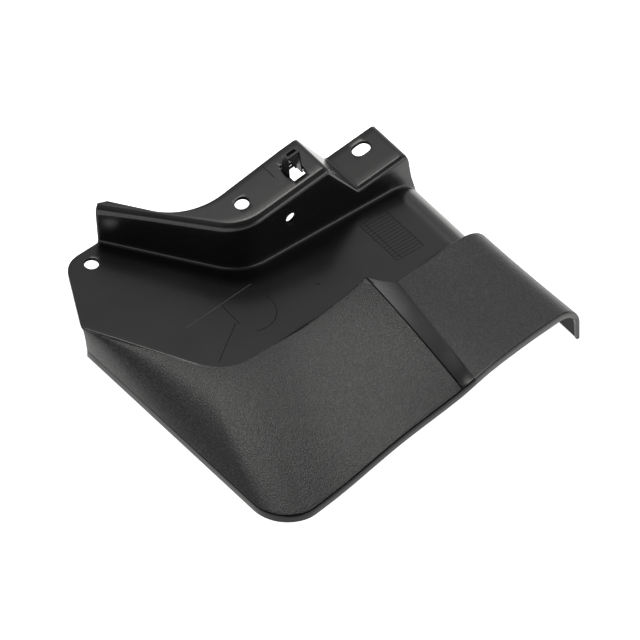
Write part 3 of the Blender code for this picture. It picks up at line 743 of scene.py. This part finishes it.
def build_hood():
    """Hood of the clip: two cheeks, a slotted top, an open back and flanges below."""
    under = -(SHEET + GAP)
    bottom = under - CLIP_WALL - FLANGE_INSET
    foot, top = CLIP_FOOT_WIDTH / 2, CLIP_TOP_WIDTH / 2
    hood = wedge("hood_block", (CLIP_X - foot, CLIP_X + foot, CLIP_FRONT_FOOT, CLIP_BACK),
                 (CLIP_X - top, CLIP_X + top, CLIP_FRONT_TOP, CLIP_BACK), bottom, CLIP_HEIGHT)
    inner_foot, inner_top = foot - CLIP_WALL, top - CLIP_WALL
    inner_back = CLIP_BACK - CLIP_WALL
    middle = (CLIP_FRONT_TOP + CLIP_BACK) / 2
    length, width = CLIP_SLOT
    slot = (CLIP_X - length / 2, CLIP_X + length / 2, middle - width / 2, middle + width / 2)
    back = (CLIP_X - BACK_OPENING, CLIP_X + BACK_OPENING, middle, CLIP_BACK + CLIP_WALL)
    steps = [("DIFFERENCE", (CLIP_X - inner_foot, CLIP_X + inner_foot, 0.0, inner_back),
              (CLIP_X - inner_top, CLIP_X + inner_top, 0.0, inner_back),
              bottom - CLIP_WALL, CLIP_HEIGHT - CLIP_WALL),
             ("DIFFERENCE", slot, slot, CLIP_HEIGHT - 2 * CLIP_WALL, CLIP_HEIGHT + CLIP_WALL),
             ("DIFFERENCE", back, back, *OPENING_Z)]
    for side in (-1, 1):
        near, far = (CLIP_X + side * reach for reach in (foot - CLIP_WALL / 2,
                                                         foot + CLIP_FLANGE))
        plan = (min(near, far), max(near, far), CLIP_FRONT_FOOT + 3 * FLANGE_INSET,
                CLIP_BACK - FLANGE_INSET)
        steps.append(("UNION", plan, plan, under - CLIP_WALL, under))
    tools = []
    for operation, low, high, below, above in steps:
        tools.append(wedge("hood_tool", low, high, below, above))
        combine(hood, operation, tools[-1])
    round_edges(hood, CLIP_EDGE, HOOD_ANGLE)
    return finished("clip_hood", hood, tools, HOOD_SHARP)


def build_tongue():
    """Tapered tongue that hangs from the front of the hood over the window."""
    bm = bmesh.new()
    rings = []
    for share, half, thick in TONGUE_STATIONS:
        z = TONGUE_ROOT_Z - TONGUE_DROP * share
        ring = []
        for turn in range(TONGUE_SIDES):
            angle = math.tau * (turn + 0.5) / TONGUE_SIDES
            across, along = math.cos(angle), math.sin(angle)
            x = half * math.copysign(abs(across) ** TONGUE_SQUARE, across)
            y = (thick * math.copysign(abs(along) ** TONGUE_SQUARE, along)
                 - TONGUE_LEAN * share)
            point = Vector((CLIP_X + x, CLIP_FRONT_TOP + TONGUE_THICKNESS / 2 + y,
                            shelf_height(CLIP_X) + z + SHELF_SLOPE * x * (1 - share)))
            ring.append(bm.verts.new((point + SHIFT) * MM))
        rings.append(ring)
    for one, two in zip(rings, rings[1:]):
        for k in range(TONGUE_SIDES):
            after = (k + 1) % TONGUE_SIDES
            bm.faces.new((one[k], two[k], two[after], one[after]))
    bm.faces.new(rings[0])
    bm.faces.new(rings[-1][::-1])
    bmesh.ops.recalc_face_normals(bm, faces=bm.faces)
    tongue = new_object("clip_tongue", bm)
    tongue.data.shade_smooth()
    tongue.data.set_sharp_from_angle(angle=math.radians(TONGUE_SHARP))
    return tongue


def build_marks():
    """Lines that the mould leaves on the plate and the shelf, its grid and its gate."""
    bm = bmesh.new()
    x, y = RING_AT
    arc = [(x + RING_RADIUS * math.cos(math.radians(turn)),
            y + RING_RADIUS * math.sin(math.radians(turn)))
           for turn in range(RING_TURN[0], RING_TURN[1] + 1, 5)]
    for line in WITNESS_LINES + (arc,):
        add_ridge(bm, [Vector((*point, 0)) for point in line], WITNESS_SIZE)
    left, right = GRID_X
    back, front = GRID_Y
    for step in range(GRID_ROWS + 1):
        y = blend(back, front, step / GRID_ROWS)
        add_ridge(bm, [Vector((left, y, 0)), Vector((right, y, 0))], GRID_SIZE)
    for x in GRID_COLUMNS:
        add_ridge(bm, [Vector((x, back, 0)), Vector((x, front, 0))], GRID_SIZE)
    shelf = [Vector((SHELF_LINE_X, y, shelf_height(SHELF_LINE_X))) for y in SHELF_LINE_Y]
    add_ridge(bm, shelf, SHELF_LINE_SIZE)
    for face in bm.faces:
        face.material_index = 1
    add_ridge(bm, [Vector((*point, 0)) for point in BRIGHT_LINE], WITNESS_SIZE)
    add_nub(bm, *GATE_AT, GATE_PROFILE)
    bmesh.ops.recalc_face_normals(bm, faces=bm.faces)
    return new_object("mould_marks", bm)


def node(tree, kind, **inputs):
    """New shader node with values or links on its inputs, by name or as i0, i1 by number."""
    made = tree.nodes.new(kind)
    for name, value in inputs.items():
        socket = made.inputs[int(name[1:])] if name[0] == "i" and name[1:].isdigit() else \
            made.inputs[name.replace("_", " ")]
        if isinstance(value, bpy.types.NodeSocket):
            tree.links.new(value, socket)
        else:
            socket.default_value = value
    return made


def ramp(tree, factor, stops):
    made = tree.nodes.new("ShaderNodeValToRGB")
    tree.links.new(factor, made.inputs[0])
    elements = made.color_ramp.elements
    while len(elements) < len(stops):
        elements.new(0.5)
    for element, (position, value) in zip(elements, stops):
        element.position = position
        element.color = (*value, 1.0) if isinstance(value, tuple) else (value, value, value, 1.0)
    return made.outputs["Color"]


def new_material(name, colour, roughness):
    material = bpy.data.materials.new(name)
    material.use_nodes = True
    tree = material.node_tree
    shader = tree.nodes["Principled BSDF"]
    shader.inputs["Base Color"].default_value = (*colour, 1.0)
    shader.inputs["Roughness"].default_value = roughness
    shader.inputs["IOR"].default_value = PLASTIC_IOR
    return material, tree, shader


def satin(name, colour, roughness, specular=0.5):
    """Smooth satin plastic: slow changes of gloss and a faint unevenness of the mould."""
    material, tree, shader = new_material(name, colour, roughness)
    shader.inputs["Specular IOR Level"].default_value = specular
    where = tree.nodes.new("ShaderNodeTexCoord").outputs["Object"]
    slow = node(tree, "ShaderNodeTexNoise", Vector=where, Scale=GLOSS_SCALE, Detail=3.0)
    gloss = ramp(tree, slow.outputs["Fac"], ((0.0, roughness - GLOSS_SWING),
                                             (1.0, roughness + GLOSS_SWING)))
    tree.links.new(gloss, shader.inputs["Roughness"])
    fine = node(tree, "ShaderNodeTexNoise", Vector=where, Scale=FINE_SCALE, Detail=2.0)
    bump = node(tree, "ShaderNodeBump", Height=fine.outputs["Fac"], Strength=FINE_STRENGTH,
                Distance=FINE_DEPTH)
    tree.links.new(bump.outputs["Normal"], shader.inputs["Normal"])
    return material


def grained(name, colour, roughness):
    """Etched grain of the outer skin: a bumpy face, with light specks painted into its colour as
    glints of the bumps.
    """
    material, tree, shader = new_material(name, colour, roughness)
    where = tree.nodes.new("ShaderNodeTexCoord").outputs["Object"]
    grain = node(tree, "ShaderNodeTexNoise", Vector=where, Scale=GRAIN_SCALE, Detail=2.0,
                 Roughness=0.5)
    cells = node(tree, "ShaderNodeTexVoronoi", Vector=where, Scale=CELL_SCALE)
    height = node(tree, "ShaderNodeMath", i0=grain.outputs["Fac"], i1=cells.outputs["Distance"])
    height.operation = "ADD"
    bump = node(tree, "ShaderNodeBump", Height=height.outputs["Value"], Strength=1.0,
                Distance=GRAIN_DEPTH)
    tree.links.new(bump.outputs["Normal"], shader.inputs["Normal"])
    # Painted glints: specks lighter than the grain's colour stand in for light catching its bumps
    bright = tuple(PAINTED_GLINT_GAIN * part for part in colour)
    painted_glints = ramp(tree, grain.outputs["Fac"], ((PAINTED_GLINT_START, (0.0, 0.0, 0.0)),
                                              (PAINTED_GLINT_END, bright)))
    tree.links.new(painted_glints, shader.inputs["Base Color"])
    return material


def add_light(name, at, toward, size, power):
    """Softbox at a place, facing a point."""
    data = bpy.data.lights.new(name, "AREA")
    data.shape = "RECTANGLE"
    data.size, data.size_y = size
    data.energy = power
    data.color = LIGHT_COLOUR
    light = bpy.data.objects.new(name, data)
    light.location = at
    light.rotation_mode = "QUATERNION"
    light.rotation_quaternion = (Vector(toward) - Vector(at)).to_track_quat("-Z", "Y")
    bpy.context.scene.collection.objects.link(light)


def add_camera():
    data = bpy.data.cameras.new("camera")
    camera = bpy.data.objects.new("camera", data)
    bpy.context.scene.collection.objects.link(camera)
    bpy.context.scene.camera = camera
    data.lens = LENS
    toward = Vector(CAMERA_FROM).normalized()
    right = Vector((-toward.y, toward.x, 0.0)).normalized()
    up = toward.cross(right)
    turn = Matrix((right, up, toward)).transposed().to_4x4()
    camera.matrix_world = Matrix.Translation(Vector(TARGET) + toward * CAMERA_DISTANCE) @ turn


def add_studio():
    bpy.context.scene.view_settings.view_transform = "Standard"
    world = bpy.data.worlds.new("studio")
    world.use_nodes = True
    bpy.context.scene.world = world
    tree = world.node_tree
    direction = tree.nodes.new("ShaderNodeTexCoord").outputs["Generated"]
    parts = node(tree, "ShaderNodeSeparateXYZ", Vector=direction)
    glow = ramp(tree, parts.outputs["Z"], SKY)
    toward = node(tree, "ShaderNodeVectorMath", i0=direction, i1=DARK_SIDE)
    toward.operation = "DOT_PRODUCT"
    shade = ramp(tree, toward.outputs["Value"], DARK_STOPS)
    both = node(tree, "ShaderNodeVectorMath", i0=glow, i1=shade)
    both.operation = "MULTIPLY"
    tree.links.new(both.outputs["Vector"], tree.nodes["Background"].inputs["Color"])
    tree.nodes["Background"].inputs["Strength"].default_value = SKY_STRENGTH
    bm = bmesh.new()
    bmesh.ops.create_grid(bm, x_segments=1, y_segments=1, size=FLOOR_HALF)
    floor = new_object("floor", bm)
    floor.location.z = -FLOOR_DROP
    material, _tree, shader = new_material("floor_paint", (FLOOR_GREY,) * 3, FLOOR_ROUGHNESS)
    shader.inputs["Emission Color"].default_value = (*FLOOR_GLOW, 1.0)
    shader.inputs["Emission Strength"].default_value = GLOW_STRENGTH
    floor.data.materials.append(material)
    for light in LIGHTS:
        add_light(*light)


add_camera()
add_studio()
satin_black = satin("satin_black", (0.003, 0.003, 0.0031), roughness=0.25)
grain_black = grained("grain_black", (0.007, 0.007, 0.0071), roughness=0.37)
clip_black = satin("clip_black", (0.003, 0.003, 0.003), roughness=0.3, specular=0.35)
tongue_black = satin("tongue_black", (0.003, 0.003, 0.003), roughness=0.4, specular=0.15)
# Duller, darker black painted as shade on the crease's groove, the line above the hem's rim and the
# holes' walls
painted_shade_black = satin("painted_shade_black", (0.002, 0.002, 0.002), roughness=0.6, specular=0.08)
under_black = satin("under_black", (0.006, 0.006, 0.006), roughness=0.5, specular=0.15)
facet_black = satin("facet_black", (0.003, 0.003, 0.003), roughness=0.25, specular=0.27)

moulding = build_moulding((satin_black, grain_black, painted_shade_black, under_black, facet_black))
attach(moulding, "flap")
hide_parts("flap_moulding")

marks = build_marks()
marks.data.materials.append(satin_black)
marks.data.materials.append(under_black)
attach(marks, "flap")

tongue = build_tongue()
tongue.data.materials.append(tongue_black)
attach(tongue, "finger")
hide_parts("clip_finger")

hood = build_hood()
hood.data.materials.clear()
hood.data.materials.append(clip_black)
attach(hood, "flap")
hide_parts("clip_cage")
